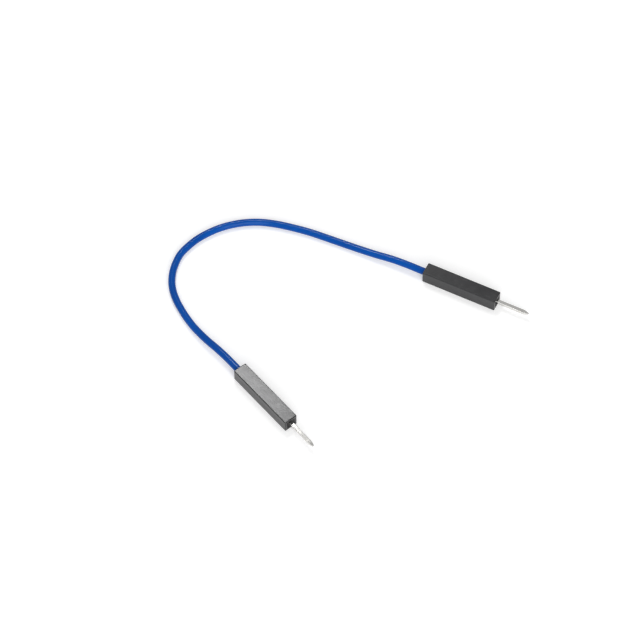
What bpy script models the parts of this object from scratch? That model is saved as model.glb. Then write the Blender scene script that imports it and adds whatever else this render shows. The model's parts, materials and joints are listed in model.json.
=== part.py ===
"""Breadboard jumper wire: a short blue hook-up wire with a one-way pin connector on each end.

Each connector is a black moulded housing with a latch tongue, and a stamped and folded terminal
whose barrels grip the wire and whose square pin stands out of the housing's nose.
The wire is a hollow jacket over seven twisted strands.

World frame: metres, +Z up, the housings lie on Z = 0 and the origin is under the middle of the box
round both connectors. Connector frame: +X from the wire entry to the pin, +Z to the latch tongue,
origin in the middle of the housing's rear face.
"""
import math
from enum import IntEnum

import bmesh
import bpy
from mathutils import Matrix, Vector

MM = 0.001

# Wire
WIRE_DIAMETER = 1.30 * MM
STRAND_DIAMETER = 0.16 * MM
STRAND_GAP = 0.02 * MM
STRAND_LAY = 15.6 * MM
OUTER_STRANDS = 6
BORE_CLEARANCE = 0.05 * MM
SURFACE_GAP = 0.02 * MM
JACKET_STEP_DIAMETERS = 2.0
STRAND_STEPS_PER_JACKET_STEP = 2

# Terminal, stamped from one sheet
SHEET = 0.20 * MM
WIRE_FIT = 0.04 * MM
STRAND_FIT = 0.03 * MM
BOX_SIDE = 1.70 * MM
BOX_BEND = 0.12 * MM
SEAM = 0.04 * MM
BARREL_BEND = 0.15 * MM
BARREL_CURL = 0.10 * MM
BARREL_CURL_ANGLE = math.radians(120)
GRIP_FLAT = 0.06 * MM
GRIP_WRAP_ANGLE = math.radians(78)
COLLAR_BEND = 0.08 * MM
TAB_LENGTH = 0.30 * MM
GRIP_LENGTH = 2.00 * MM
JACKET_SHOW = 0.20 * MM
STRIP_LENGTH = 0.90 * MM
BARREL_LENGTH = 1.80 * MM
BELL_MOUTH = 0.05 * MM
BELL_LENGTH = 0.25 * MM
STRAND_BRUSH = 0.30 * MM
THROAT_RISE = 0.50 * MM
THROAT_LENGTH = 1.60 * MM
BOX_LENGTH = 3.90 * MM
SHOULDER_LENGTH = 0.30 * MM
COLLAR_LENGTH = 0.30 * MM

# Pin
PIN_SIDE = 0.64 * MM
PIN_REACH = 6.00 * MM
PIN_EDGE = 0.05 * MM
PIN_BITE = 0.02 * MM
PIN_TAPER_LENGTH = 0.80 * MM
PIN_TIP_SIDE = 0.34 * MM
PIN_TIP_ROUND = 0.12 * MM

# Housing: its side comes to 2.54 mm, one breadboard pitch, and its length to 14 mm
HOUSING_WALL = 0.32 * MM
CAVITY_CLEARANCE = 0.06 * MM
REAR_RECESS = 2.20 * MM
REAR_LEAD_IN = 0.12 * MM
FRONT_WALL = 0.97 * MM
SEAT_GAP = 0.03 * MM
EDGE_ROUND = 0.15 * MM
PIN_CLEARANCE = 0.10 * MM
FUNNEL_SIDE = 1.75 * MM
FUNNEL_DEPTH = 0.60 * MM

# Latch tongue and window, on one side of the housing
TONGUE_LENGTH = 3.50 * MM
TONGUE_WIDTH = 1.20 * MM
TONGUE_SLIT = 0.15 * MM
TONGUE_ROOT = 0.40 * MM
TONGUE_INSET = 0.04 * MM
TONGUE_CATCH = 0.30 * MM
TONGUE_WEDGE = 1.20 * MM
TONGUE_PLAY = 0.10 * MM
WINDOW_LENGTH = 1.60 * MM

# Where each connector lies: its rear face on the plan, its heading, and its roll about its own axis
CONNECTORS = {
    "right": {"rear": (7.74 * MM, 17.71 * MM), "heading": math.radians(-26.94)},
    "left": {"rear": (-24.67 * MM, -3.32 * MM), "heading": math.radians(-50.43)},
}
LATCH_ROLL = math.radians(-90)

# Points that the wire passes through between the housings, in mm: x, y, and how far it is lifted
# from the surface (0) to the height of the connectors' axis (1)
ROUTE = [
    (4.6, 19.3, 1.0), (1.9, 20.6, 0.8), (-1.0, 21.8, 0.45), (-3.9, 23.1, 0.15), (-6.8, 24.4, 0.0),
    (-9.8, 25.7, 0.0), (-12.7, 26.9, 0.0), (-15.7, 27.9, 0.0), (-18.7, 28.7, 0.0),
    (-21.6, 29.1, 0.0), (-24.3, 29.0, 0.0), (-26.7, 28.5, 0.0), (-28.9, 27.7, 0.0),
    (-30.9, 26.6, 0.0), (-32.7, 25.3, 0.0), (-34.2, 23.8, 0.0), (-35.5, 22.1, 0.0),
    (-36.3, 20.2, 0.0), (-36.8, 18.1, 0.0), (-36.9, 15.9, 0.0), (-36.6, 13.9, 0.0),
    (-35.9, 11.8, 0.0), (-35.0, 9.9, 0.0), (-34.0, 8.1, 0.0), (-32.9, 6.4, 0.1),
    (-31.7, 4.8, 0.35), (-30.3, 3.1, 0.7), (-28.7, 1.4, 0.92), (-26.9, -0.6, 1.0),
]

# Sizes that follow from those above
WIRE_RADIUS = WIRE_DIAMETER / 2
LAY_RADIUS = STRAND_DIAMETER + STRAND_GAP
CORE_RADIUS = LAY_RADIUS + STRAND_DIAMETER / 2
BORE_RADIUS = CORE_RADIUS + BORE_CLEARANCE
GRIP_HALF = WIRE_RADIUS + WIRE_FIT
BARREL_HALF = CORE_RADIUS + STRAND_FIT
BOX_HALF = BOX_SIDE / 2 - SHEET
COLLAR_HALF = PIN_SIDE / 2 - PIN_BITE
CAVITY_HALF = max(BOX_HALF, GRIP_HALF) + SHEET + CAVITY_CLEARANCE
HOUSING_HALF = CAVITY_HALF + HOUSING_WALL
PIN_HOLE_SIDE = PIN_SIDE + 2 * PIN_CLEARANCE

GRIP_REAR = REAR_RECESS
GRIP_FRONT = GRIP_REAR + GRIP_LENGTH
JACKET_END = GRIP_FRONT + JACKET_SHOW
BARREL_REAR = GRIP_FRONT + STRIP_LENGTH
BARREL_FRONT = BARREL_REAR + BARREL_LENGTH
STRAND_END = BARREL_FRONT + STRAND_BRUSH
BOX_REAR = BARREL_FRONT + THROAT_LENGTH
BOX_FRONT = BOX_REAR + BOX_LENGTH
COLLAR_REAR = BOX_FRONT + SHOULDER_LENGTH
COLLAR_FRONT = COLLAR_REAR + COLLAR_LENGTH
FRONT_WALL_INSIDE = COLLAR_FRONT + SEAT_GAP
HOUSING_LENGTH = FRONT_WALL_INSIDE + FRONT_WALL
PIN_TIP = HOUSING_LENGTH + PIN_REACH
TONGUE_TIP = BOX_REAR - TONGUE_PLAY
CUT_MARGIN = HOUSING_WALL

BEND_STEPS = 4


class Column(IntEnum):
    """Columns of points across one side of the folded sheet, from the middle of its floor out:
    the floor's edge, a bend, a wall in two halves, a second bend and a lip."""

    FLOOR = 1
    FIRST_BEND = FLOOR + BEND_STEPS
    MID_WALL = FIRST_BEND + 1
    LIP = MID_WALL + 1 + BEND_STEPS + 1


def clear_scene():
    """Remove every object and leave the two collections that the model uses."""
    for obj in list(bpy.data.objects):
        bpy.data.objects.remove(obj, do_unlink=True)
    collections = []
    for name in ("breadboard_jumper_wire", "cutters"):
        collection = bpy.data.collections.get(name) or bpy.data.collections.new(name)
        if name not in bpy.context.scene.collection.children:
            bpy.context.scene.collection.children.link(collection)
        collections.append(collection)
    return collections


def make_material(name, color, roughness, metallic):
    """A Principled material with one colour."""
    material = bpy.data.materials.new(name)
    material.use_nodes = True
    shader = material.node_tree.nodes["Principled BSDF"]
    shader.inputs["Base Color"].default_value = (*color, 1.0)
    shader.inputs["Roughness"].default_value = roughness
    shader.inputs["Metallic"].default_value = metallic
    material.diffuse_color = (*color, 1.0)
    return material


def make_object(name, data, collection, parent=None, material=None):
    """Link a new object under a parent and give it its material."""
    obj = bpy.data.objects.new(name, data)
    collection.objects.link(obj)
    obj.parent = parent
    if material:
        data.materials.append(material)
    return obj


def make_cutter(name, mesh, collection, parent):
    """An object that only shapes others, so it is drawn as wire and never rendered."""
    obj = make_object(name, mesh, collection, parent)
    obj.display_type = "WIRE"
    obj.hide_render = True
    return obj


def mesh_from(name, bm):
    """Turn a bmesh into a mesh with outward faces."""
    bmesh.ops.recalc_face_normals(bm, faces=bm.faces)
    mesh = bpy.data.meshes.new(name)
    bm.to_mesh(mesh)
    bm.free()
    return mesh


def block(name, start, end, width, height):
    """A box along X from start to end, centred on the connector's axis."""
    bm = bmesh.new()
    bmesh.ops.create_cube(bm, size=1.0)
    bmesh.ops.scale(bm, vec=(end - start, width, height), verts=bm.verts)
    bmesh.ops.translate(bm, vec=((start + end) / 2, 0, 0), verts=bm.verts)
    return mesh_from(name, bm)


def frustum(name, start, end, start_side, end_side):
    """A square tapered block along X, for a funnel or a lead-in."""
    bm = bmesh.new()
    bmesh.ops.create_cone(
        bm, cap_ends=True, segments=4,
        radius1=start_side / math.sqrt(2), radius2=end_side / math.sqrt(2), depth=end - start,
    )
    bmesh.ops.rotate(bm, verts=bm.verts, matrix=Matrix.Rotation(math.radians(45), 3, "Z"))
    bmesh.ops.rotate(bm, verts=bm.verts, matrix=Matrix.Rotation(math.radians(90), 3, "Y"))
    bmesh.ops.translate(bm, vec=((start + end) / 2, 0, 0), verts=bm.verts)
    return mesh_from(name, bm)


def boolean(obj, operation, other):
    """Add an exact Boolean modifier."""
    modifier = obj.modifiers.new(f"{operation.lower()}_{other.name}", "BOOLEAN")
    modifier.operation = operation
    modifier.solver = "EXACT"
    modifier.object = other


def shade(mesh):
    """Smooth shading with crisp folds and edges."""
    mesh.shade_smooth()
    mesh.set_sharp_from_angle(angle=math.radians(35))


def connector_matrix(side):
    """The transform from the connector frame to the world."""
    x, y = CONNECTORS[side]["rear"]
    turn = Matrix.Rotation(CONNECTORS[side]["heading"], 4, "Z")
    roll = Matrix.Rotation(LATCH_ROLL, 4, "X")
    return Matrix.Translation((x, y, HOUSING_HALF)) @ turn @ roll


def make_connector_frame(side, collection):
    """The empty that carries one connector's pieces."""
    frame = make_object(f"connector_{side}", None, collection)
    frame.matrix_world = connector_matrix(side)
    frame.empty_display_size = HOUSING_HALF
    return frame


def tongue_profile():
    """The latch tongue seen from the side: x along the housing, z outward, root to tip."""
    outer = HOUSING_HALF - TONGUE_INSET
    inner = CAVITY_HALF + TONGUE_INSET
    tip = BOX_SIDE / 2 - TONGUE_CATCH
    root = TONGUE_TIP - TONGUE_LENGTH - TONGUE_ROOT
    return [
        (root, inner), (TONGUE_TIP - TONGUE_WEDGE, inner), (TONGUE_TIP, tip),
        (TONGUE_TIP, outer), (root, outer),
    ]


def make_tongue(side, frame, cutters):
    """The tongue as a prism across the housing, joined to it at its root."""
    bm = bmesh.new()
    verts = [bm.verts.new((x, -TONGUE_WIDTH / 2, z)) for x, z in tongue_profile()]
    face = bm.faces.new(verts)
    grown = bmesh.ops.extrude_face_region(bm, geom=[face])
    moved = [item for item in grown["geom"] if isinstance(item, bmesh.types.BMVert)]
    bmesh.ops.translate(bm, vec=(0, TONGUE_WIDTH, 0), verts=moved)
    return make_cutter(f"tongue_{side}", mesh_from("tongue", bm), cutters, frame)


def make_window(side, frame, cutters):
    """The cut through the latch side: the slits round the tongue and the window in front of it."""
    start = TONGUE_TIP - TONGUE_LENGTH
    mesh = block("window", start, TONGUE_TIP + WINDOW_LENGTH, TONGUE_WIDTH + 2 * TONGUE_SLIT,
                 HOUSING_WALL + 2 * CUT_MARGIN)
    window = make_cutter(f"window_{side}", mesh, cutters, frame)
    window.location.z = (CAVITY_HALF + HOUSING_HALF) / 2
    return window


def make_housing(side, frame, collection, cutters, material):
    """The moulded housing: a square tube with a front wall, a pin funnel and a latch tongue."""
    mesh = block("housing", 0, HOUSING_LENGTH, 2 * HOUSING_HALF, 2 * HOUSING_HALF)
    housing = make_object(f"housing_{side}", mesh, collection, frame, material)
    edges = housing.modifiers.new("edge_round", "BEVEL")
    edges.width = EDGE_ROUND
    edges.segments = 3
    lead_side = 2 * (CAVITY_HALF + REAR_LEAD_IN)
    hollows = {
        "cavity": block("cavity", -CUT_MARGIN, FRONT_WALL_INSIDE, 2 * CAVITY_HALF, 2 * CAVITY_HALF),
        "lead_in": frustum("lead_in", -REAR_LEAD_IN, REAR_LEAD_IN, lead_side + 2 * REAR_LEAD_IN,
                           lead_side - 2 * REAR_LEAD_IN),
        "pin_hole": block("pin_hole", FRONT_WALL_INSIDE - CUT_MARGIN, HOUSING_LENGTH,
                          PIN_HOLE_SIDE, PIN_HOLE_SIDE),
        "funnel": frustum("funnel", HOUSING_LENGTH - FUNNEL_DEPTH, HOUSING_LENGTH + FUNNEL_DEPTH,
                          PIN_HOLE_SIDE, 2 * FUNNEL_SIDE - PIN_HOLE_SIDE),
    }
    for name, hollow in hollows.items():
        boolean(housing, "DIFFERENCE", make_cutter(f"{name}_{side}", hollow, cutters, frame))
    boolean(housing, "DIFFERENCE", make_window(side, frame, cutters))
    boolean(housing, "UNION", make_tongue(side, frame, cutters))
    return housing


def fold(half, first_bend, second_bend, second_angle, lip):
    """One side of a folded section, from the middle of the floor out to the lip.

    The floor is half below the axis and the wall is half to the side. The wall bends up by a
    quarter turn from the floor, then in over the top by second_angle, and ends in a straight lip.
    """
    points = [(0.0, -half), (half - first_bend, -half)]
    for step in range(1, BEND_STEPS + 1):
        angle = math.pi / 2 * step / BEND_STEPS
        points.append((half - first_bend + first_bend * math.sin(angle),
                       -half + first_bend - first_bend * math.cos(angle)))
    wall_top = half - second_bend
    points.append((half, (wall_top - half + first_bend) / 2))
    points.append((half, wall_top))
    for step in range(1, BEND_STEPS + 1):
        angle = second_angle * step / BEND_STEPS
        points.append((half - second_bend + second_bend * math.cos(angle),
                       wall_top + second_bend * math.sin(angle)))
    y, z = points[-1]
    points.append((y - lip * math.sin(second_angle), z + lip * math.cos(second_angle)))
    return points


def square_fold(half, bend):
    """A square section whose two lips meet at a narrow seam over the axis."""
    return fold(half, bend, bend, math.pi / 2, half - bend - SEAM / 2)


def terminal_stations():
    """Stations along the terminal: x, the folded section there, and the last column of metal
    between this station and the next."""
    grip_bend = GRIP_HALF - GRIP_FLAT
    grip = fold(GRIP_HALF, grip_bend, grip_bend, GRIP_WRAP_ANGLE, GRIP_FLAT)
    bell = fold(BARREL_HALF + BELL_MOUTH, BARREL_BEND, BARREL_CURL, BARREL_CURL_ANGLE, STRAND_FIT)
    barrel = fold(BARREL_HALF, BARREL_BEND, BARREL_CURL, BARREL_CURL_ANGLE, STRAND_FIT)
    box = square_fold(BOX_HALF, BOX_BEND)
    collar = square_fold(COLLAR_HALF, COLLAR_BEND)
    return [
        (GRIP_REAR - TAB_LENGTH, grip, Column.FLOOR + 1),
        (GRIP_REAR, grip, Column.LIP),
        (GRIP_FRONT, grip, Column.FIRST_BEND),
        (JACKET_END + STRAND_FIT, grip, Column.FIRST_BEND),
        (BARREL_REAR, bell, Column.LIP),
        (BARREL_REAR + BELL_LENGTH, barrel, Column.LIP),
        (BARREL_FRONT, barrel, Column.FIRST_BEND),
        (BARREL_FRONT + THROAT_RISE, box, Column.MID_WALL),
        (BOX_REAR, box, Column.LIP),
        (BOX_FRONT, box, Column.LIP),
        (COLLAR_REAR, collar, Column.LIP),
        (COLLAR_FRONT, collar, Column.LIP),
    ]


def make_terminal_sheet():
    """The stamped blank in its folded shape, as an open surface on the metal's inner side."""
    stations = terminal_stations()
    bm = bmesh.new()
    rows = []
    for x, section, _ in stations:
        row = {0: bm.verts.new((x, 0.0, section[0][1]))}
        for column in range(1, Column.LIP + 1):
            y, z = section[column]
            row[column] = bm.verts.new((x, y, z))
            row[-column] = bm.verts.new((x, -y, z))
        rows.append(row)
    for (near, far), (_, _, last) in zip(zip(rows, rows[1:]), stations):
        for column in range(-last, last):
            bm.faces.new((near[column], near[column + 1], far[column + 1], far[column]))
    loose = [vert for vert in bm.verts if not vert.link_faces]
    bmesh.ops.delete(bm, geom=loose, context="VERTS")
    mesh = bpy.data.meshes.new("terminal")
    bm.to_mesh(mesh)
    bm.free()
    return mesh


def make_pin(side, frame, cutters):
    """The solid square pin with a tapered and rounded tip."""
    body_end = PIN_TIP - PIN_TAPER_LENGTH
    tip_end = PIN_TIP - PIN_TIP_ROUND
    bm = bmesh.new()
    bmesh.ops.create_cube(bm, size=1.0)
    bmesh.ops.scale(bm, vec=(body_end - COLLAR_REAR, PIN_SIDE, PIN_SIDE), verts=bm.verts)
    bmesh.ops.translate(bm, vec=((body_end + COLLAR_REAR) / 2, 0, 0), verts=bm.verts)
    long_edges = [edge for edge in bm.edges if abs(edge.verts[0].co.x - edge.verts[1].co.x) > MM]
    bmesh.ops.bevel(bm, geom=long_edges, offset=PIN_EDGE, segments=1, profile=0.5, affect="EDGES")
    front = max(bm.faces, key=lambda face: face.calc_center_median().x)
    for x, side_here in ((tip_end, PIN_TIP_SIDE), (PIN_TIP, PIN_TIP_SIDE / 2)):
        grown = bmesh.ops.extrude_discrete_faces(bm, faces=[front])
        front = grown["faces"][0]
        width = max(vert.co.y for vert in front.verts)
        for vert in front.verts:
            scale = side_here / 2 / width
            vert.co = Vector((x, vert.co.y * scale, vert.co.z * scale))
    return make_cutter(f"pin_{side}", mesh_from("pin", bm), cutters, frame)


def make_terminal(side, frame, collection, cutters, material):
    """The terminal: the folded sheet given its thickness and joined to its pin."""
    mesh = make_terminal_sheet()
    terminal = make_object(f"terminal_{side}", mesh, collection, frame, material)
    sheet = terminal.modifiers.new("sheet", "SOLIDIFY")
    sheet.thickness = SHEET
    sheet.offset = 1.0
    sheet.use_even_offset = True
    sheet.use_quality_normals = True
    boolean(terminal, "UNION", make_pin(side, frame, cutters))
    return terminal


def catmull_rom(points, samples):
    """Points on a smooth curve through all the given points, samples to each span."""
    ends = [points[0] * 2 - points[1], *points, points[-1] * 2 - points[-2]]
    curve = []
    for before, start, end, after in zip(ends, ends[1:], ends[2:], ends[3:]):
        knots = [0.0]
        for a, b in ((before, start), (start, end), (end, after)):
            knots.append(knots[-1] + math.sqrt((b - a).length))
        for sample in range(samples):
            t = knots[1] + (knots[2] - knots[1]) * sample / samples
            first = [
                (a * (knots[i + 1] - t) + b * (t - knots[i])) / (knots[i + 1] - knots[i])
                for i, (a, b) in enumerate(((before, start), (start, end), (end, after)))
            ]
            second = [
                (first[i] * (knots[i + 2] - t) + first[i + 1] * (t - knots[i]))
                / (knots[i + 2] - knots[i])
                for i in range(2)
            ]
            curve.append((second[0] * (knots[2] - t) + second[1] * (t - knots[1]))
                         / (knots[2] - knots[1]))
    curve.append(points[-1])
    return curve


def resample(curve, count):
    """Points at equal steps of length along a fine curve, both ends included."""
    lengths = [0.0]
    for a, b in zip(curve, curve[1:]):
        lengths.append(lengths[-1] + (b - a).length)
    points, index = [], 0
    for step in range(count + 1):
        target = lengths[-1] * step / count
        while index < len(curve) - 2 and lengths[index + 1] < target:
            index += 1
        span = lengths[index + 1] - lengths[index]
        points.append(curve[index].lerp(curve[index + 1], (target - lengths[index]) / span))
    return points


def wire_axis():
    """The jacket's centre line, from its end inside one terminal to its end in the other."""
    right, left = connector_matrix("right"), connector_matrix("left")
    rest_height = WIRE_RADIUS + SURFACE_GAP
    route = [
        Vector((x * MM, y * MM, rest_height + lift * (HOUSING_HALF - rest_height)))
        for x, y, lift in ROUTE
    ]
    inside = [Vector((x, 0, 0)) for x in (JACKET_END, JACKET_END / 2, 0)]
    points = [right @ p for p in inside] + route + [left @ p for p in reversed(inside)]
    curve = catmull_rom(points, samples=12)
    length = sum((b - a).length for a, b in zip(curve, curve[1:]))
    return resample(curve, round(length / (JACKET_STEP_DIAMETERS * WIRE_DIAMETER)))


def core_axis(axis):
    """The strands' shared centre line: the jacket's, cut into finer steps and run on straight
    at both ends to where the strands stop."""
    bare = STRAND_END - JACKET_END
    fine = []
    for a, b in zip(axis, axis[1:]):
        for step in range(STRAND_STEPS_PER_JACKET_STEP):
            fine.append(a.lerp(b, step / STRAND_STEPS_PER_JACKET_STEP))
    fine.append(axis[-1])
    first = fine[0] + (fine[0] - fine[1]).normalized() * bare
    last = fine[-1] + (fine[-1] - fine[-2]).normalized() * bare
    return [first, first.lerp(fine[0], 0.5), *fine, last.lerp(fine[-1], 0.5), last]


def twisted(axis, radius, phase):
    """A helix round the centre line, one turn to each lay."""
    points, travelled = [], 0.0
    for index, centre in enumerate(axis):
        before, after = axis[max(index - 1, 0)], axis[min(index + 1, len(axis) - 1)]
        tangent = ((after - centre).normalized() + (centre - before).normalized()).normalized()
        across = Vector((0, 0, 1)).cross(tangent).normalized()
        upward = tangent.cross(across)
        if index:
            travelled += (centre - before).length
        angle = phase + 2 * math.pi * travelled / STRAND_LAY
        points.append(centre + across * (radius * math.cos(angle)) + upward * (radius * math.sin(angle)))
    return points


def make_tube(name, points, radius, resolution, capped, collection, material):
    """A round rod or open tube along a polyline, as a bevelled curve."""
    curve = bpy.data.curves.new(name, "CURVE")
    curve.dimensions = "3D"
    curve.bevel_depth = radius
    curve.bevel_resolution = resolution
    curve.use_fill_caps = capped
    spline = curve.splines.new("POLY")
    spline.points.add(len(points) - 1)
    for target, point in zip(spline.points, points):
        target.co = (*point, 1.0)
    return make_object(name, curve, collection, material=material)


def make_jacket(axis, collection, material):
    """The insulation: an open tube with a wall down to the bore."""
    jacket = make_tube("wire_jacket", axis, WIRE_RADIUS, 2, False, collection, material)
    wall = jacket.modifiers.new("jacket_wall", "SOLIDIFY")
    wall.thickness = WIRE_RADIUS - BORE_RADIUS
    wall.offset = -1.0
    return jacket


def make_strands(axis, collection, material):
    """One straight strand with six laid round it."""
    core = core_axis(axis)
    make_tube("strand_centre", core, STRAND_DIAMETER / 2, 1, True, collection, material)
    for number in range(OUTER_STRANDS):
        phase = 2 * math.pi * number / OUTER_STRANDS
        points = twisted(core, LAY_RADIUS, phase)
        make_tube(f"strand_{number + 1}", points, STRAND_DIAMETER / 2, 1, True, collection, material)


def main():
    """Build both connectors and the wire between them."""
    parts, cutters = clear_scene()
    plastic = make_material("black_plastic", (0.018, 0.020, 0.024), 0.35, 0.0)
    metal = make_material("tinned_brass", (0.78, 0.76, 0.72), 0.22, 1.0)
    copper = make_material("tinned_copper", (0.80, 0.72, 0.66), 0.30, 1.0)
    blue = make_material("blue_vinyl", (0.010, 0.085, 0.42), 0.38, 0.0)
    for side in CONNECTORS:
        frame = make_connector_frame(side, parts)
        shade(make_housing(side, frame, parts, cutters, plastic).data)
        shade(make_terminal(side, frame, parts, cutters, metal).data)
    axis = wire_axis()
    make_jacket(axis, parts, blue)
    make_strands(axis, parts, copper)


main()
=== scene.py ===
"""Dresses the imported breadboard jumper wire: a short blue hook-up wire with a slim black connector
and a square tinned pin on each end, lying on a white table.

Pieces are modelled in millimetres. A connector's pieces use its own frame, with +X from the wire
entry to the pin and +Z to the latch side. Each piece goes to its place in metres when it is done.
"""
import json
import logging
import math
from dataclasses import dataclass, field
from enum import Enum
from typing import ClassVar

import bmesh
import bpy
from mathutils import Matrix, Quaternion, Vector


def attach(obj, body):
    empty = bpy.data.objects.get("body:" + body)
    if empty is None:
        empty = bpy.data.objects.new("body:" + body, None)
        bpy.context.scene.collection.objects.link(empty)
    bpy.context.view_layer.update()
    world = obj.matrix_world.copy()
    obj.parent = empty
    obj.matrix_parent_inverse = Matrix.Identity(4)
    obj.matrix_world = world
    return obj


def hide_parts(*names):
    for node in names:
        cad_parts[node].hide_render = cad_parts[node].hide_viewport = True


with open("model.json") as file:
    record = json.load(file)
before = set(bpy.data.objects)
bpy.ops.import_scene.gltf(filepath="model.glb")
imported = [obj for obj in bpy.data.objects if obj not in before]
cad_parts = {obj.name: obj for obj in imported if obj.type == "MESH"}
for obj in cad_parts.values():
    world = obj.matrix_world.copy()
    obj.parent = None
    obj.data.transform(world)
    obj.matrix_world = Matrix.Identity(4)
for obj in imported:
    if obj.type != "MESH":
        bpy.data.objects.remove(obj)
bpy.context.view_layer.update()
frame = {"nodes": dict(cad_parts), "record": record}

log = logging.getLogger("jumper_wire")

Colour = tuple[float, float, float]
Point = tuple[float, float, float]

MILLIMETRE = 0.001
TO_METRES = Matrix.Scale(MILLIMETRE, 4)
UP = Vector((0, 0, 1))
WHITE = (1.0, 1.0, 1.0, 1.0)
# Points nearer than this many millimetres are one point
MERGE = 1e-4
# A face whose normal has at least this much of an axis in it looks along that axis
SQUARE_ON = 0.99


class Side(Enum):
    """The two ends of the wire."""

    RIGHT = "right"
    LEFT = "left"


class Place(Enum):
    """The mesh attribute that a pattern follows, or the object's own coordinates."""

    PIECE = "piece_space"
    STRAIGHT = "straight"
    OBJECT = ""


class Slot(Enum):
    """The record's material slots."""

    PLASTIC = "housing_plastic"
    METAL = "terminal_metal"
    VINYL = "jacket_vinyl"
    STRAND = "strand_metal"


class Surface:
    """A Principled material being made, with short calls for the nodes that vary it."""

    def __init__(self, name: str, place: Place) -> None:
        """Start a material.

        Args:
            name: the material's name.
            place: what the material's patterns follow.
        """
        self.material = bpy.data.materials.new(name)
        self.material.use_nodes = True
        self.tree = self.material.node_tree
        self.shader = self.tree.nodes["Principled BSDF"]
        if place is Place.OBJECT:
            self.coordinates = self.add("ShaderNodeTexCoord").outputs["Object"]
        else:
            source = self.add("ShaderNodeAttribute")
            source.attribute_name = place.value
            self.coordinates = source.outputs["Vector"]

    def add(self, kind: str) -> bpy.types.Node:
        """Add a node of that kind."""
        return self.tree.nodes.new(kind)

    def link(self, source: bpy.types.NodeSocket, target: bpy.types.NodeSocket) -> None:
        """Join an output to an input."""
        self.tree.links.new(source, target)

    def constant(self, **values: float) -> None:
        """Set sockets that are the same all over the surface.

        Args:
            values: each socket's value, by its name in small letters, such as specular_ior_level.
        """
        for name, value in values.items():
            socket = name.replace("_", " ").title().replace("Ior", "IOR")
            self.shader.inputs[socket].default_value = value

    def noise(
        self, scale: float, stretch: tuple[float, float, float] = (1.0, 1.0, 1.0),
        detail: float = 3.0, roughness: float = 0.55,
    ) -> bpy.types.NodeSocket:
        """A noise over the surface.

        Args:
            scale: bumps per unit of the coordinates.
            stretch: factors on each axis, less than one to draw the noise out along it.
            detail: octaves of finer noise.
            roughness: how strongly the finer noise shows.

        Returns:
            The socket with the value, about 0.5 on average.
        """
        mapping = self.add("ShaderNodeMapping")
        mapping.inputs["Scale"].default_value = stretch
        self.link(self.coordinates, mapping.inputs["Vector"])
        noise = self.add("ShaderNodeTexNoise")
        noise.inputs["Scale"].default_value = scale
        noise.inputs["Detail"].default_value = detail
        noise.inputs["Roughness"].default_value = roughness
        self.link(mapping.outputs["Vector"], noise.inputs["Vector"])
        return noise.outputs["Fac"]

    def span(
        self, value: bpy.types.NodeSocket, low: float, high: float,
        to_low: float = 0.0, to_high: float = 1.0,
    ) -> bpy.types.NodeSocket:
        """Stretch one range of a value to another, clamped at its ends.

        Args:
            value: the value.
            low: the start of its range.
            high: the end of its range.
            to_low: what the start becomes.
            to_high: what the end becomes.

        Returns:
            The socket with the stretched value.
        """
        node = self.add("ShaderNodeMapRange")
        for name, number in zip(
            ("From Min", "From Max", "To Min", "To Max"), (low, high, to_low, to_high)
        ):
            node.inputs[name].default_value = number
        self.link(value, node.inputs["Value"])
        return node.outputs["Result"]

    def combine(
        self, first: bpy.types.NodeSocket, second: bpy.types.NodeSocket, operation: str = "ADD"
    ) -> bpy.types.NodeSocket:
        """Combine two values.

        Args:
            first: one value.
            second: the other.
            operation: the Math node's operation.

        Returns:
            The socket with the result.
        """
        node = self.add("ShaderNodeMath")
        node.operation = operation
        self.link(first, node.inputs[0])
        self.link(second, node.inputs[1])
        return node.outputs["Value"]

    def mix(
        self, factor: bpy.types.NodeSocket, first: Colour | bpy.types.NodeSocket,
        second: Colour | bpy.types.NodeSocket,
    ) -> bpy.types.NodeSocket:
        """Mix two colours.

        Args:
            factor: how much of the second shows.
            first: a plain colour or a socket.
            second: a plain colour or a socket.

        Returns:
            The socket with the mixed colour.
        """
        node = self.add("ShaderNodeMix")
        node.data_type = "RGBA"
        self.link(factor, node.inputs["Factor"])
        for socket, colour in ((node.inputs[6], first), (node.inputs[7], second)):
            if isinstance(colour, bpy.types.NodeSocket):
                self.link(colour, socket)
            else:
                socket.default_value = (*colour, 1.0)
        return node.outputs[2]

    def bump(self, layers: list[tuple[bpy.types.NodeSocket, float]]) -> None:
        """Stack bumps on the shader's normal.

        Args:
            layers: each bump's height socket and its depth in millimetres.
        """
        normal = None
        for height, depth in layers:
            node = self.add("ShaderNodeBump")
            node.inputs["Distance"].default_value = depth * MILLIMETRE
            self.link(height, node.inputs["Height"])
            if normal:
                self.link(normal, node.inputs["Normal"])
            normal = node.outputs["Normal"]
        self.link(normal, self.shader.inputs["Normal"])

    def colour(self, source: bpy.types.NodeSocket) -> None:
        """Drive the base colour."""
        self.link(source, self.shader.inputs["Base Color"])

    def gloss(self, source: bpy.types.NodeSocket) -> None:
        """Drive the roughness."""
        self.link(source, self.shader.inputs["Roughness"])


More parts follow.
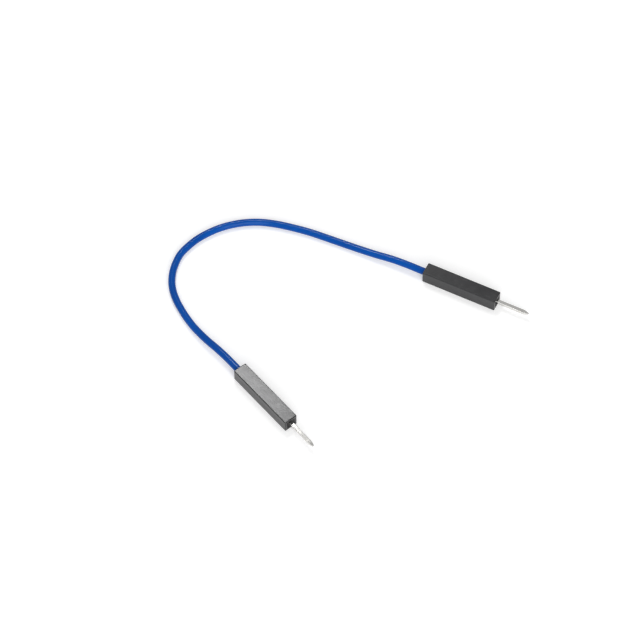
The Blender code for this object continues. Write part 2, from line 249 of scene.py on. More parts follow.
@dataclass(frozen=True)
class BlackPlastic:
    """Black moulded nylon: satin, faintly grained, a little rubbed."""

    base: Colour = (0.026, 0.026, 0.028)
    rubbed: Colour = (0.048, 0.048, 0.050)
    gloss_level: float = 0.40
    smooth: float = 0.21
    dull: float = 0.27
    grain: float = 0.0024
    wave: float = 0.0008
    scratch: float = 0.0012

    def material(self) -> bpy.types.Material:
        """Make the material.

        Returns:
            The material.
        """
        surface = Surface("black_plastic", Place.PIECE)
        surface.constant(specular_ior_level=self.gloss_level)
        clouds = surface.noise(scale=0.45, detail=4.0)
        rubs = surface.noise(scale=1.3, stretch=(0.5, 1.0, 1.0), detail=6.0, roughness=0.7)
        rubs = surface.span(rubs, low=0.56, high=0.78)
        lines = surface.noise(scale=9.0, stretch=(0.12, 1.0, 1.0), detail=5.0, roughness=0.65)
        grain = surface.noise(scale=22.0, detail=2.0)
        worn = surface.mix(rubs, self.base, self.rubbed)
        pale = surface.span(clouds, low=0.35, high=0.7, to_high=0.35)
        surface.colour(surface.mix(pale, worn, self.rubbed))
        wear = surface.combine(clouds, rubs)
        surface.gloss(surface.span(wear, low=0.3, high=1.3, to_low=self.smooth, to_high=self.dull))
        surface.bump([(clouds, self.wave), (lines, self.scratch), (grain, self.grain)])
        return surface.material


@dataclass(frozen=True)
class TinPlate:
    """Bright tin plating on stamped brass, with drawing lines and a few dull spots."""

    bright: Colour = (0.72, 0.71, 0.69)
    dulled: Colour = (0.56, 0.55, 0.53)
    brass: Colour = (0.64, 0.57, 0.42)
    smooth: float = 0.08
    dull: float = 0.15
    line: float = 0.0004
    wave: float = 0.0003

    def material(self) -> bpy.types.Material:
        """Make the material.

        Returns:
            The material.
        """
        surface = Surface("tin_plate", Place.PIECE)
        surface.constant(metallic=1.0)
        lines = surface.noise(scale=12.0, stretch=(0.02, 1.0, 1.0), detail=2.0, roughness=0.4)
        spots = surface.noise(scale=2.2, stretch=(0.5, 1.0, 1.0), detail=5.0, roughness=0.65)
        spots = surface.span(spots, low=0.56, high=0.76)
        thin = surface.noise(scale=0.9, stretch=(0.6, 1.0, 1.0))
        thin = surface.span(thin, low=0.60, high=0.80, to_high=0.35)
        plate = surface.mix(spots, self.bright, self.dulled)
        surface.colour(surface.mix(thin, plate, self.brass))
        wear = surface.combine(lines, spots)
        surface.gloss(surface.span(wear, low=0.3, high=1.4, to_low=self.smooth, to_high=self.dull))
        surface.bump([(surface.noise(scale=1.1), self.wave), (lines, self.line)])
        return surface.material


@dataclass(frozen=True)
class BlueVinyl:
    """Extruded blue insulation: smooth and softly glossy, with faint lines along it."""

    base: Colour = (0.0, 0.080, 0.40)
    deep: Colour = (0.0, 0.062, 0.33)
    scuffed: Colour = (0.010, 0.115, 0.46)
    sheen_level: float = 0.14
    smooth: float = 0.15
    dull: float = 0.28
    line: float = 0.003
    ripple: float = 0.004

    def material(self) -> bpy.types.Material:
        """Make the material.

        Returns:
            The material.
        """
        surface = Surface("blue_vinyl", Place.STRAIGHT)
        surface.constant(specular_ior_level=self.sheen_level)
        lines = surface.noise(scale=7.0, stretch=(1.0, 1.0, 0.03), detail=4.0, roughness=0.6)
        clouds = surface.noise(scale=0.35, stretch=(1.0, 1.0, 0.5))
        ripple = surface.noise(scale=0.9, stretch=(1.0, 1.0, 0.6), detail=2.0)
        scuffs = surface.noise(scale=3.0, stretch=(1.0, 1.0, 0.35), detail=6.0, roughness=0.7)
        scuffs = surface.span(scuffs, low=0.60, high=0.76)
        tone = surface.mix(surface.span(clouds, low=0.3, high=0.7), self.base, self.deep)
        scuffed = surface.span(scuffs, low=0.0, high=1.0, to_high=0.5)
        surface.colour(surface.mix(scuffed, tone, self.scuffed))
        wear = surface.combine(lines, scuffs)
        surface.gloss(surface.span(wear, low=0.3, high=1.4, to_low=self.smooth, to_high=self.dull))
        surface.bump([(ripple, self.ripple), (lines, self.line)])
        return surface.material


@dataclass(frozen=True)
class TinnedCopper:
    """Fine drawn copper, lightly tinned."""

    tinned: Colour = (0.74, 0.68, 0.62)
    copper: Colour = (0.72, 0.40, 0.26)
    smooth: float = 0.22
    dull: float = 0.42
    line: float = 0.002

    def material(self) -> bpy.types.Material:
        """Make the material.

        Returns:
            The material.
        """
        surface = Surface("tinned_copper", Place.OBJECT)
        surface.constant(metallic=1.0)
        patches = surface.noise(scale=2400.0, detail=4.0)
        bare = surface.span(patches, low=0.42, high=0.68)
        surface.colour(surface.mix(bare, self.tinned, self.copper))
        surface.gloss(surface.span(patches, low=0.3, high=0.7, to_low=self.smooth, to_high=self.dull))
        surface.bump([(surface.noise(scale=9000.0, detail=2.0), self.line)])
        return surface.material


@dataclass
class Seat:
    """Where one connector lies, found from its packed housing and the direction of its nose."""

    side: Side
    matrix: Matrix = field(init=False)

    def __post_init__(self) -> None:
        """Work out the transform from the connector's millimetres to the world's metres."""
        mounts = {mount["name"]: mount for mount in frame["record"]["mounts"]}
        axis = Vector(mounts[f"nose_{self.side.value}"]["axis"]).normalized()
        beside = UP.cross(axis)
        corners = [vert.co for vert in frame["nodes"][f"housing_{self.side.value}"].data.vertices]
        low, high = (
            [pick(corner.dot(way) for corner in corners) for way in (axis, beside, UP)]
            for pick in (min, max)
        )
        rear = axis * low[0] + beside * (low[1] + high[1]) / 2 + UP * (low[2] + high[2]) / 2
        turn = Matrix((axis, -UP, beside)).transposed().to_4x4()
        self.matrix = Matrix.Translation(rear) @ turn @ TO_METRES

    def point(self, x: float) -> Vector:
        """A point on the connector's axis, in the world's millimetres."""
        return TO_METRES.inverted() @ self.matrix @ Vector((x, 0, 0))


def mark(bm: bmesh.types.BMesh, place: Place) -> None:
    """Keep each vertex's present place in an attribute that the materials read.

    Args:
        bm: the shape.
        place: the attribute.
    """
    layer = bm.verts.layers.float_vector.new(place.value)
    for vert in bm.verts:
        vert[layer] = vert.co


def make_piece(
    name: str, bm: bmesh.types.BMesh, matrix: Matrix, material: bpy.types.Material
) -> bpy.types.Object:
    """Turn a finished bmesh into a piece of the object.

    Args:
        name: the piece's name.
        bm: the shape, in the millimetres of its own frame; it is freed.
        matrix: the transform to the world's metres.
        material: its finish.

    Returns:
        The piece, with its place in its mesh.
    """
    bm.transform(matrix)
    mesh = bpy.data.meshes.new(name)
    bm.to_mesh(mesh)
    bm.free()
    mesh.shade_smooth()
    mesh.materials.append(material)
    piece = bpy.data.objects.new(name, mesh)
    bpy.context.scene.collection.objects.link(piece)
    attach(piece, "root")
    return piece


def round_edges(piece: bpy.types.Object, width: float, angle: float, segments: int = 2) -> None:
    """Round a piece's sharp edges, and keep its flat faces flat in the light.

    Args:
        piece: the piece.
        width: the rounding in millimetres.
        angle: only edges that turn by more than this many degrees are rounded.
        segments: faces across each rounding.
    """
    bevel = piece.modifiers.new("edges", "BEVEL")
    bevel.width = width * MILLIMETRE
    bevel.segments = segments
    bevel.limit_method = "ANGLE"
    bevel.angle_limit = math.radians(angle)
    bevel.use_clamp_overlap = True
    shading = piece.modifiers.new("flat faces", "WEIGHTED_NORMAL")
    shading.mode = "FACE_AREA"


def report(piece: bpy.types.Object, note: str) -> None:
    """Log a piece's name, its triangles and a note.

    Args:
        piece: the piece.
        note: what it is.
    """
    evaluated = piece.evaluated_get(bpy.context.evaluated_depsgraph_get())
    mesh = evaluated.to_mesh()
    mesh.calc_loop_triangles()
    log.info("%s: %d triangles, %s", piece.name, len(mesh.loop_triangles), note)
    evaluated.to_mesh_clear()


def push(
    bm: bmesh.types.BMesh, face: bmesh.types.BMFace, x: float, half: float
) -> bmesh.types.BMFace:
    """Extrude a square end face along the axis.

    Args:
        bm: the mesh.
        face: a face across the axis.
        x: its new place along the axis.
        half: its new half width.

    Returns:
        The face at the end of the extrusion.
    """
    end = bmesh.ops.extrude_discrete_faces(bm, faces=[face])["faces"][0]
    width = max(vert.co.y for vert in end.verts)
    grow = half / width
    bmesh.ops.scale(bm, vec=(1.0, grow, grow), verts=end.verts)
    bmesh.ops.translate(bm, vec=(x - end.verts[0].co.x, 0, 0), verts=end.verts)
    return end


@dataclass
class Housing:
    """A connector's moulded housing: a square tube with a pin funnel and a latch tongue."""

    seat: Seat
    length: float = 14.0
    half: float = 1.27
    edge_round: float = 0.15
    edge_steps: int = 4
    cavity_half: float = 0.95
    lead_in: float = 0.12
    nose_inside: float = 13.03
    funnel_half: float = 0.875
    funnel_depth: float = 0.60
    pin_hole_half: float = 0.42
    slit_start: float = 4.9
    wedge_start: float = 7.2
    tongue_tip: float = 8.4
    window_end: float = 10.0
    tongue_half: float = 0.60
    slit_half: float = 0.75
    tongue_inset: float = 0.04
    catch: float = 0.55
    soft_edge: float = 0.035
    soft_angle: float = 35.0

    def shell(self) -> bmesh.types.BMesh:
        """Model the tube.

        Returns:
            A block with rounded edges, hollowed from both ends until the hollows meet.
        """
        bm = bmesh.new()
        bmesh.ops.create_cube(bm, size=1.0)
        bmesh.ops.scale(bm, vec=(self.length, 2 * self.half, 2 * self.half), verts=bm.verts)
        bmesh.ops.translate(bm, vec=(self.length / 2, 0, 0), verts=bm.verts)
        bmesh.ops.bevel(
            bm, geom=bm.edges, offset=self.edge_round, segments=self.edge_steps, profile=0.5,
            affect="EDGES", material=-1, clamp_overlap=True,
        )
        nose = max(bm.faces, key=lambda face: face.calc_center_median().x)
        rear = min(bm.faces, key=lambda face: face.calc_center_median().x)
        for x, half in (
            (self.length, self.funnel_half),
            (self.length - self.funnel_depth, self.pin_hole_half),
            (self.nose_inside, self.pin_hole_half),
        ):
            nose = push(bm, nose, x, half)
        for x, half in (
            (0.0, self.cavity_half + self.lead_in),
            (self.lead_in, self.cavity_half),
            (self.nose_inside, self.cavity_half),
            (self.nose_inside, self.pin_hole_half),
        ):
            rear = push(bm, rear, x, half)
        bmesh.ops.delete(bm, geom=[nose, rear], context="FACES_ONLY")
        bmesh.ops.remove_doubles(bm, verts=bm.verts, dist=MERGE)
        return bm

    def latch_walls(self, bm: bmesh.types.BMesh) -> list[bmesh.types.BMFace]:
        """Find the outer and inner faces of the wall on the latch side.

        Args:
            bm: the tube.

        Returns:
            The faces.
        """
        inside = self.cavity_half - MERGE
        return [
            face for face in bm.faces
            if abs(face.normal.z) > SQUARE_ON and min(vert.co.z for vert in face.verts) > inside
        ]

    def cut_latch(self, bm: bmesh.types.BMesh) -> None:
        """Open the window and the slits in the latch side, and press the tongue into shape.

        Args:
            bm: the tube.
        """
        bm.normal_update()
        cuts = [(Vector((x, 0, 0)), Vector((1, 0, 0)))
                for x in (self.slit_start, self.wedge_start, self.tongue_tip, self.window_end)]
        cuts += [(Vector((0, y * way, 0)), Vector((0, 1, 0)))
                 for y in (self.tongue_half, self.slit_half) for way in (-1, 1)]
        for point, normal in cuts:
            walls = self.latch_walls(bm)
            parts = {item for face in walls for item in (*face.verts, *face.edges)}
            bmesh.ops.bisect_plane(
                bm, geom=walls + list(parts), plane_co=point, plane_no=normal, dist=MERGE
            )
        gone = []
        for face in self.latch_walls(bm):
            centre = face.calc_center_median()
            across, along = abs(centre.y), centre.x
            opening = across < self.slit_half and self.slit_start < along < self.window_end
            if opening and (across > self.tongue_half or along > self.tongue_tip):
                gone.append(face)
        bmesh.ops.delete(bm, geom=gone, context="FACES")
        bmesh.ops.bridge_loops(bm, edges=[edge for edge in bm.edges if edge.is_boundary])
        for vert in bm.verts:
            x, y, z = vert.co
            wedge = self.wedge_start - MERGE < x < self.tongue_tip + MERGE
            if wedge and abs(y) < self.tongue_half + MERGE:
                if abs(z - self.half) < MERGE:
                    vert.co.z -= self.tongue_inset
                elif abs(z - self.cavity_half) < MERGE and x > self.tongue_tip - MERGE:
                    vert.co.z = self.catch

    def build(self, finish: bpy.types.Material) -> bpy.types.Object:
        """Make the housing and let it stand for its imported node.

        Args:
            finish: the plastic.

        Returns:
            The piece.
        """
        bm = self.shell()
        self.cut_latch(bm)
        bmesh.ops.recalc_face_normals(bm, faces=bm.faces)
        mark(bm, Place.PIECE)
        name = self.seat.side.value
        piece = make_piece(f"moulded_housing_{name}", bm, self.seat.matrix, finish)
        round_edges(piece, self.soft_edge, self.soft_angle)
        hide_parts(f"housing_{name}")
        report(piece, "moulded tube with funnel, latch tongue and window")
        return piece


class Reach(Enum):
    """How far out the terminal's sheet has metal, from the middle of its floor."""

    FLOOR = "floor"
    WALL_FOOT = "foot of the wall"
    MID_WALL = "middle of the wall"
    LIP = "lip"


@dataclass(frozen=True)
class Fold:
    """How one part of the terminal is folded: the radii of the bends at the foot and the top of its
    wall, the top bend's angle in degrees, and the straight lip after it."""

    foot_bend: float
    top_bend: float
    top_angle: float
    lip: float


@dataclass(frozen=True)
class Section:
    """A station along the terminal: where it is, its half width, how the sheet is folded there, and
    how far out the metal reaches up to the next station."""

    x: float
    half: float
    fold: Fold
    reach: Reach


@dataclass
class Terminal:
    """A stamped and folded terminal with its square pin."""

    seat: Seat
    sheet: float = 0.20
    bend_steps: int = 6
    # The jacket's barrel, the strands' barrel, the square box and the sleeve round the pin's root
    grip: ClassVar[Fold] = Fold(foot_bend=0.63, top_bend=0.63, top_angle=78.0, lip=0.06)
    crimp: ClassVar[Fold] = Fold(foot_bend=0.15, top_bend=0.10, top_angle=120.0, lip=0.03)
    box: ClassVar[Fold] = Fold(foot_bend=0.12, top_bend=0.12, top_angle=90.0, lip=0.51)
    collar: ClassVar[Fold] = Fold(foot_bend=0.08, top_bend=0.08, top_angle=90.0, lip=0.20)
    sections: tuple[Section, ...] = (
        Section(1.90, 0.69, grip, Reach.FLOOR), Section(2.20, 0.69, grip, Reach.LIP),
        Section(4.20, 0.69, grip, Reach.WALL_FOOT), Section(4.43, 0.69, grip, Reach.WALL_FOOT),
        Section(5.10, 0.34, crimp, Reach.LIP), Section(5.35, 0.29, crimp, Reach.LIP),
        Section(6.65, 0.29, crimp, Reach.LIP), Section(6.90, 0.30, crimp, Reach.WALL_FOOT),
        Section(7.40, 0.65, box, Reach.MID_WALL), Section(8.50, 0.65, box, Reach.LIP),
        Section(12.40, 0.65, box, Reach.LIP), Section(12.70, 0.30, collar, Reach.LIP),
        Section(13.00, 0.30, collar, Reach.LIP),
    )
    pin_side: float = 0.64
    pin_edge: float = 0.06
    pin_edge_steps: int = 3
    pin_root: float = 12.7
    pin_tip: float = 20.0
    taper_length: float = 0.80
    tip_side: float = 0.34
    tip_round: float = 0.12
    tip_steps: int = 5
    tip_flat: float = 0.35
    soft_edge: float = 0.03
    soft_angle: float = 40.0

    def last_column(self, reach: Reach) -> int:
        """Tell which column of the folded points the metal ends on.

        Args:
            reach: how far out the metal goes.

        Returns:
            The column, counted from 0 at the middle of the floor.
        """
        wall_foot = 1 + self.bend_steps
        columns = {
            Reach.FLOOR: 2, Reach.WALL_FOOT: wall_foot,
            Reach.MID_WALL: wall_foot + 1, Reach.LIP: 2 * self.bend_steps + 4,
        }
        return columns[reach]

    def fold(self, section: Section) -> list[tuple[float, float]]:
        """Fold one side of the sheet.

        Args:
            section: the station.

        Returns:
            The y and z of each column of points, from the middle of the floor out to the lip.
        """
        half, first, second = section.half, section.fold.foot_bend, section.fold.top_bend
        turn, lip = math.radians(section.fold.top_angle), section.fold.lip
        inner, foot, top = half - first, first - half, half - second
        points = [(0.0, -half), (inner, -half)]
        for step in range(1, self.bend_steps + 1):
            angle = math.pi / 2 * step / self.bend_steps
            points.append((inner + first * math.sin(angle), foot - first * math.cos(angle)))
        points += [(half, (foot + top) / 2), (half, top)]
        for step in range(1, self.bend_steps + 1):
            angle = turn * step / self.bend_steps
            points.append((top + second * math.cos(angle), top + second * math.sin(angle)))
        y, z = points[-1]
        points.append((y - lip * math.sin(turn), z + lip * math.cos(turn)))
        return points

    def folded_sheet(self) -> bmesh.types.BMesh:
        """Cut the blank from a grid and fold it.

        Returns:
            The metal's inner side as an open surface.
        """
        folds = [self.fold(section) for section in self.sections]
        last = [self.last_column(section.reach) for section in self.sections]
        rows, columns = len(folds) - 1, 2 * (len(folds[0]) - 1)
        bm = bmesh.new()
        bmesh.ops.create_grid(bm, x_segments=rows, y_segments=columns, size=0.5)
        grid = {
            vert: (round((vert.co.x + 0.5) * rows), round(vert.co.y * columns)) for vert in bm.verts
        }
        waste = [
            face for face in bm.faces
            if max(abs(grid[vert][1]) for vert in face.verts)
            > last[min(grid[vert][0] for vert in face.verts)]
        ]
        for vert, (row, column) in grid.items():
            y, z = folds[row][abs(column)]
            vert.co = (self.sections[row].x, math.copysign(y, column), z)
        bmesh.ops.delete(bm, geom=waste, context="FACES")
        return bm

    def pin(self) -> bmesh.types.BMesh:
        """Model the square pin.

        Returns:
            The closed pin, with rounded edges, a taper and a round tip.
        """
        body_end = self.pin_tip - self.taper_length
        tip_start = self.pin_tip - self.tip_round
        size = (body_end - self.pin_root, self.pin_side, self.pin_side)
        bm = bmesh.new()
        bmesh.ops.create_cube(bm, size=1.0)
        bmesh.ops.scale(bm, vec=size, verts=bm.verts)
        bmesh.ops.translate(bm, vec=((body_end + self.pin_root) / 2, 0, 0), verts=bm.verts)
        long_edges = [edge for edge in bm.edges if edge.calc_length() > 2 * self.pin_side]
        bmesh.ops.bevel(
            bm, geom=long_edges, offset=self.pin_edge, segments=self.pin_edge_steps, profile=0.5,
            affect="EDGES", material=-1, clamp_overlap=True,
        )
        end = max(bm.faces, key=lambda face: face.calc_center_median().x)
        end = push(bm, end, tip_start, self.tip_side / 2)
        for step in range(1, self.tip_steps):
            angle = math.pi / 2 * step / self.tip_steps
            half = self.tip_side / 2 * (self.tip_flat + (1 - self.tip_flat) * math.cos(angle))
            end = push(bm, end, tip_start + self.tip_round * math.sin(angle), half)
        bmesh.ops.recalc_face_normals(bm, faces=bm.faces)
        return bm

    def joined(self) -> bmesh.types.BMesh:
        """Give the sheet its thickness and join the pin to it.

        Returns:
            The whole terminal as one closed shape.
        """
        made = []
        for name, bm in (("sheet", self.folded_sheet()), ("pin", self.pin())):
            mesh = bpy.data.meshes.new(name)
            bm.to_mesh(mesh)
            bm.free()
            made.append(bpy.data.objects.new(name, mesh))
            bpy.context.scene.collection.objects.link(made[-1])
        sheet, pin = made
        thick = sheet.modifiers.new("thickness", "SOLIDIFY")
        thick.thickness = self.sheet
        thick.offset = -1.0
        thick.use_even_offset = True
        thick.use_quality_normals = True
        union = sheet.modifiers.new("pin", "BOOLEAN")
        union.operation = "UNION"
        union.solver = "EXACT"
        union.object = pin
        bm = bmesh.new()
        bm.from_object(sheet, bpy.context.evaluated_depsgraph_get())
        for obj in made:
            mesh = obj.data
            bpy.data.objects.remove(obj)
            bpy.data.meshes.remove(mesh)
        return bm

    def build(self, finish: bpy.types.Material) -> bpy.types.Object:
        """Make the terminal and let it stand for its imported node.

        Args:
            finish: the plating.

        Returns:
            The piece.
        """
        bm = self.joined()
        mark(bm, Place.PIECE)
        name = self.seat.side.value
        piece = make_piece(f"pin_terminal_{name}", bm, self.seat.matrix, finish)
        round_edges(piece, self.soft_edge, self.soft_angle)
        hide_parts(f"terminal_{name}")
        report(piece, "folded terminal with a square pin")
        return piece


@dataclass
class Connector:
    """A housing with its terminal inside."""

    side: Side
    seat: Seat = field(init=False)
    housing: bpy.types.Object = field(init=False)
    terminal: bpy.types.Object = field(init=False)

    def __post_init__(self) -> None:
        """Find where the connector lies."""
        self.seat = Seat(self.side)

    def build(self, plastic: bpy.types.Material, plate: bpy.types.Material) -> None:
        """Make both pieces.

        Args:
            plastic: the housing's finish.
            plate: the terminal's finish.
        """
        self.housing = Housing(self.seat).build(plastic)
        self.terminal = Terminal(self.seat).build(plate)


@dataclass
class JumperCable:
    """The insulated wire between the connectors, in millimetres."""

    start: Seat
    end: Seat
    length: float = 86.0
    diameter: float = 1.30
    bore_radius: float = 0.31
    jacket_end: float = 4.4
    rest_height: float = 0.67
    axis_height: float = 1.27
    soft_edge: float = 0.05
    soft_angle: float = 60.0
    rings: int = 260
    sides: int = 32
    samples: int = 12
    # Each point's x and y, and its lift from the table (0) to the height of the housings' axis (1)
    route: tuple[tuple[float, float, float], ...] = (
        (4.6, 19.3, 1.0), (1.9, 20.6, 0.8), (-1.0, 21.8, 0.45), (-3.9, 23.1, 0.15),
        (-6.8, 24.4, 0.0), (-9.8, 25.7, 0.0), (-12.7, 26.9, 0.0), (-15.7, 27.9, 0.0),
        (-18.7, 28.7, 0.0), (-21.6, 29.1, 0.0), (-24.3, 29.0, 0.0), (-26.7, 28.5, 0.0),
        (-28.9, 27.7, 0.0), (-30.9, 26.6, 0.0), (-32.7, 25.3, 0.0), (-34.2, 23.8, 0.0),
        (-35.5, 22.1, 0.0), (-36.3, 20.2, 0.0), (-36.8, 18.1, 0.0), (-36.9, 15.9, 0.0),
        (-36.6, 13.9, 0.0), (-35.9, 11.8, 0.0), (-35.0, 9.9, 0.0), (-34.0, 8.1, 0.0),
        (-32.9, 6.4, 0.1), (-31.7, 4.8, 0.35), (-30.3, 3.1, 0.7), (-28.7, 1.4, 0.92),
        (-26.9, -0.6, 1.0),
    )

    def points(self) -> list[Vector]:
        """Find the points that the centre line passes through.

        Returns:
            The points from the jacket's end in the right connector to that in the left one.
        """
        rise = self.axis_height - self.rest_height
        inside = (self.jacket_end, self.jacket_end / 2, 0.0)
        points = [self.start.point(x) for x in inside]
        points += [Vector((x, y, self.rest_height + lift * rise)) for x, y, lift in self.route]
        return points + [self.end.point(x) for x in reversed(inside)]

    def curve(self) -> list[Vector]:
        """Run a smooth curve through the points.

        Returns:
            Close points on a centripetal Catmull-Rom curve.
        """
        points = self.points()
        points = [points[0] * 2 - points[1], *points, points[-1] * 2 - points[-2]]
        curve = []
        for span in zip(points, points[1:], points[2:], points[3:]):
            knots = [0.0]
            for a, b in zip(span, span[1:]):
                knots.append(knots[-1] + math.sqrt((b - a).length))
            for sample in range(self.samples):
                at = knots[1] + (knots[2] - knots[1]) * sample / self.samples
                level = list(span)
                for reach in (1, 2):
                    level = [
                        (a * (knots[i + reach] - at) + b * (at - knots[i]))
                        / (knots[i + reach] - knots[i])
                        for i, (a, b) in enumerate(zip(level, level[1:]))
                    ]
                first, second = level
                blend = first * (knots[2] - at) + second * (at - knots[1])
                curve.append(blend / (knots[2] - knots[1]))
        return [*curve, points[-2]]

    def centre_line(self) -> list[Vector]:
        """Share the curve out in equal steps.

        Returns:
            One point for each ring of the tube.
        """
        curve = self.curve()
        travelled = [0.0]
        for a, b in zip(curve, curve[1:]):
            travelled.append(travelled[-1] + (b - a).length)
        line, index = [], 0
        for ring in range(self.rings + 1):
            target = travelled[-1] * ring / self.rings
            while index < len(curve) - 2 and travelled[index + 1] < target:
                index += 1
            share = (target - travelled[index]) / (travelled[index + 1] - travelled[index])
            line.append(curve[index].lerp(curve[index + 1], share))
        return line

    @staticmethod
    def stations(line: list[Vector]) -> list[Matrix]:
        """Stand a frame on each point, with its Z along the line.

        Args:
            line: the centre line.

        Returns:
            The frames.
        """
        frames = []
        for index, point in enumerate(line):
            ahead, behind = line[min(index + 1, len(line) - 1)], line[max(index - 1, 0)]
            along = (ahead - behind).normalized()
            across = UP.cross(along).normalized()
            turn = Matrix((across, along.cross(across), along)).transposed().to_4x4()
            frames.append(Matrix.Translation(point) @ turn)
        return frames

    def tube(self, line: list[Vector]) -> bmesh.types.BMesh:
        """Draw a circle out along the line.

        Args:
            line: the centre line.

        Returns:
            The jacket's outer side, each point marked with where it is on the straight wire.
        """
        bm = bmesh.new()
        straight = bm.verts.layers.float_vector.new(Place.STRAIGHT.value)
        ring = bmesh.ops.create_circle(bm, segments=self.sides, radius=self.diameter / 2)["verts"]
        for vert in ring:
            vert[straight] = vert.co
        edges = list(bm.edges)
        stations = self.stations(line)
        bmesh.ops.transform(bm, matrix=stations[0], verts=ring)
        travelled = 0.0
        for index in range(1, len(stations)):
            grown = bmesh.ops.extrude_edge_only(bm, edges=edges)["geom"]
            ring = {item for item in grown if isinstance(item, bmesh.types.BMVert)}
            edges = [
                item for item in grown
                if isinstance(item, bmesh.types.BMEdge) and ring.issuperset(item.verts)
            ]
            travelled += (line[index] - line[index - 1]).length
            for vert in ring:
                vert[straight] = (*vert[straight].xy, travelled)
            step = stations[index] @ stations[index - 1].inverted()
            bmesh.ops.transform(bm, matrix=step, verts=list(ring))
        bmesh.ops.recalc_face_normals(bm, faces=bm.faces)
        return bm

    def build(
        self, finish: bpy.types.Material, far_end: Connector, strands: list[bpy.types.Object]
    ) -> bpy.types.Object:
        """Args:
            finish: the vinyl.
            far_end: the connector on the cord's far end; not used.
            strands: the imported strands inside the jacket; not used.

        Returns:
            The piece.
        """
        line = self.centre_line()
        piece = make_piece("insulation", self.tube(line), TO_METRES, finish)
        wall = piece.modifiers.new("wall", "SOLIDIFY")
        wall.thickness = (self.diameter / 2 - self.bore_radius) * MILLIMETRE
        wall.offset = -1.0
        round_edges(piece, self.soft_edge, self.soft_angle)
        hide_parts("wire_jacket")
        TO_METRES @ self.start.point(0.0)
        report(piece, f"{sum((b - a).length for a, b in zip(line, line[1:])):.1f} mm of wire")
        return piece


@dataclass(frozen=True)
class Lamp:
    """A softbox: its sides in metres, its watts, its place, the point that it faces and its turn
    about its own beam in degrees."""

    name: str
    sides: tuple[float, float]
    power: float
    place: Point
    aim: Point
    turn: float = 0.0

    def hang(self) -> None:
        """Hang the lamp, hidden from the camera."""
        light = bpy.data.lights.new(self.name, "AREA")
        light.shape = "RECTANGLE"
        light.size, light.size_y = self.sides
        light.energy = self.power
        lamp = bpy.data.objects.new(self.name, light)
        beam = (Vector(self.aim) - Vector(self.place)).to_track_quat("-Z", "Y")
        lamp.location = self.place
        lamp.rotation_euler = (beam @ Quaternion((0, 0, 1), math.radians(self.turn))).to_euler()
        lamp.visible_camera = False
        bpy.context.scene.collection.objects.link(lamp)


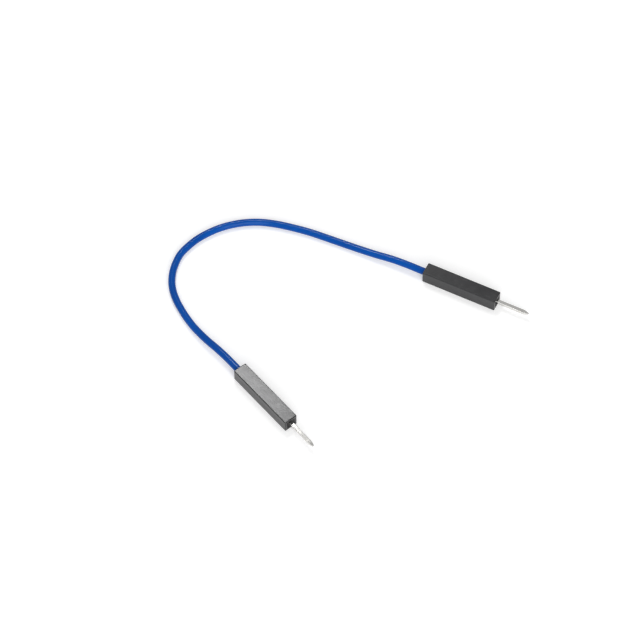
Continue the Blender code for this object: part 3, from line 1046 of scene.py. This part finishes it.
@dataclass
class Studio:
    """The table, the light and the camera, in metres."""

    floor_side: float = 4.0
    floor_drop: float = 0.00002
    floor_tone: float = 0.80
    floor_mottle: float = 0.01
    # The table's own light near the object and far from it, and where it starts and stops to change
    floor_glow: float = 0.36
    far_glow: float = 0.62
    glow_start: float = 0.10
    glow_stop: float = 0.80
    # The room's light on the object, and what glossy surfaces mirror of it: the level at the horizon
    # and the one overhead, which it reaches at ceiling_start (1 is straight up)
    room_level: float = 0.40
    horizon: float = 0.42
    ceiling: float = 0.55
    ceiling_start: float = 0.80
    lens: float = 176.96
    sensor: float = 36.0
    clip: tuple[float, float] = (0.01, 10.0)
    camera_distance: float = 0.55
    camera_elevation: float = 55.0
    target: Vector = field(default_factory=lambda: Vector((-0.01082, 0.00828, 0.0)))
    lamps: tuple[Lamp, ...] = (
        Lamp(
            "key", sides=(0.090, 0.014), power=0.25,
            place=(-0.0460, 0.1553, 0.27), aim=(-0.0460, 0.1553, 0.0), turn=50.0,
        ),
        Lamp(
            "fill", sides=(0.60, 0.60), power=3.8, place=(0.10, -0.60, 0.36), aim=(0.0, 0.0, 0.0)
        ),
    )

    @staticmethod
    def seen_rays(tree: bpy.types.NodeTree) -> bpy.types.NodeSocket:
        """Tell the rays that show a surface from those that light the object.

        Args:
            tree: the node tree that asks.

        Returns:
            A socket with 1 for camera, glossy and transmission rays and 0 for the others.
        """
        rays = tree.nodes.new("ShaderNodeLightPath")
        value = rays.outputs["Is Camera Ray"]
        for name in ("Is Glossy Ray", "Is Transmission Ray"):
            node = tree.nodes.new("ShaderNodeMath")
            node.operation = "MAXIMUM"
            tree.links.new(value, node.inputs[0])
            tree.links.new(rays.outputs[name], node.inputs[1])
            value = node.outputs["Value"]
        return value

    def world(self) -> None:
        """Light the room evenly, white to the camera and greyer in what mirrors it."""
        world = bpy.data.worlds.new("studio")
        world.use_nodes = True
        tree = world.node_tree
        background = tree.nodes["Background"]
        background.inputs["Color"].default_value = WHITE
        direction = tree.nodes.new("ShaderNodeSeparateXYZ")
        coordinates = tree.nodes.new("ShaderNodeTexCoord")
        tree.links.new(coordinates.outputs["Generated"], direction.inputs["Vector"])
        height = tree.nodes.new("ShaderNodeMapRange")
        height.inputs["From Max"].default_value = self.ceiling_start
        height.inputs["To Min"].default_value = self.horizon
        height.inputs["To Max"].default_value = self.ceiling
        tree.links.new(direction.outputs["Z"], height.inputs["Value"])
        shown = tree.nodes.new("ShaderNodeMath")
        shown.operation = "MAXIMUM"
        tree.links.new(height.outputs["Result"], shown.inputs[0])
        rays = tree.nodes.new("ShaderNodeLightPath")
        tree.links.new(rays.outputs["Is Camera Ray"], shown.inputs[1])
        level = tree.nodes.new("ShaderNodeMapRange")
        level.inputs["To Min"].default_value = self.room_level
        tree.links.new(self.seen_rays(tree), level.inputs["Value"])
        tree.links.new(shown.outputs["Value"], level.inputs["To Max"])
        tree.links.new(level.outputs["Result"], background.inputs["Strength"])
        bpy.context.scene.world = world

    def floor(self) -> None:
        """Lay a plain white table that keeps the object's shadow."""
        bm = bmesh.new()
        bmesh.ops.create_grid(bm, x_segments=1, y_segments=1, size=self.floor_side / 2)
        bmesh.ops.translate(bm, vec=(0, 0, -self.floor_drop), verts=bm.verts)
        mesh = bpy.data.meshes.new("table")
        bm.to_mesh(mesh)
        bm.free()
        surface = Surface("white_table", Place.OBJECT)
        surface.constant(roughness=0.9, specular_ior_level=0.0)
        shades = surface.span(surface.noise(scale=3.0), low=0.3, high=0.7)
        tone, paler = self.floor_tone, self.floor_tone + self.floor_mottle
        surface.colour(surface.mix(shades, (tone, tone, tone), (paler, paler, paler)))
        surface.shader.inputs["Emission Color"].default_value = WHITE
        away = surface.add("ShaderNodeVectorMath")
        away.operation = "LENGTH"
        surface.link(surface.coordinates, away.inputs[0])
        glow = surface.span(
            away.outputs["Value"], self.glow_start, self.glow_stop, self.floor_glow, self.far_glow
        )
        seen = surface.combine(glow, self.seen_rays(surface.tree), "MULTIPLY")
        surface.link(seen, surface.shader.inputs["Emission Strength"])
        mesh.materials.append(surface.material)
        table = bpy.data.objects.new("table", mesh)
        bpy.context.scene.collection.objects.link(table)

    def camera(self) -> None:
        """Stand the camera where the photograph was taken from."""
        data = bpy.data.cameras.new("camera")
        data.lens = self.lens
        data.sensor_width = self.sensor
        data.clip_start, data.clip_end = self.clip
        camera = bpy.data.objects.new("camera", data)
        tilt = math.radians(self.camera_elevation)
        back = Vector((0.0, -math.cos(tilt), math.sin(tilt)))
        camera.location = self.target + back * self.camera_distance
        camera.rotation_euler = (-back).to_track_quat("-Z", "Y").to_euler()
        bpy.context.scene.collection.objects.link(camera)
        bpy.context.scene.camera = camera

    def build(self) -> None:
        """Set up the camera, the table and the light."""
        self.camera()
        self.world()
        self.floor()
        for lamp in self.lamps:
            lamp.hang()
        bpy.context.scene.view_settings.view_transform = "Standard"
        log.info(
            "studio: camera %.2f m away, %.0f degrees up",
            self.camera_distance, self.camera_elevation,
        )


def dress_strands(finish: bpy.types.Material) -> list[bpy.types.Object]:
    """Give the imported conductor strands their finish.

    Args:
        finish: the metal.

    Returns:
        The strands.
    """
    strands = [node for name, node in sorted(frame["nodes"].items()) if name.startswith("strand_")]
    for strand in strands:
        for slot in strand.material_slots:
            slot.material = finish
        report(strand, "packed strand")
    return strands


def main() -> None:
    """Build the studio, both connectors and the wire."""
    logging.basicConfig(level=logging.INFO, format="%(message)s")
    Studio().build()
    plastic, plate = BlackPlastic().material(), TinPlate().material()
    connectors = {side: Connector(side) for side in Side}
    for connector in connectors.values():
        connector.build(plastic, plate)
    strands = dress_strands(TinnedCopper().material())
    cable = JumperCable(connectors[Side.RIGHT].seat, connectors[Side.LEFT].seat)
    cable.build(BlueVinyl().material(), connectors[Side.LEFT], strands)


if __name__ == "__main__":
    main()
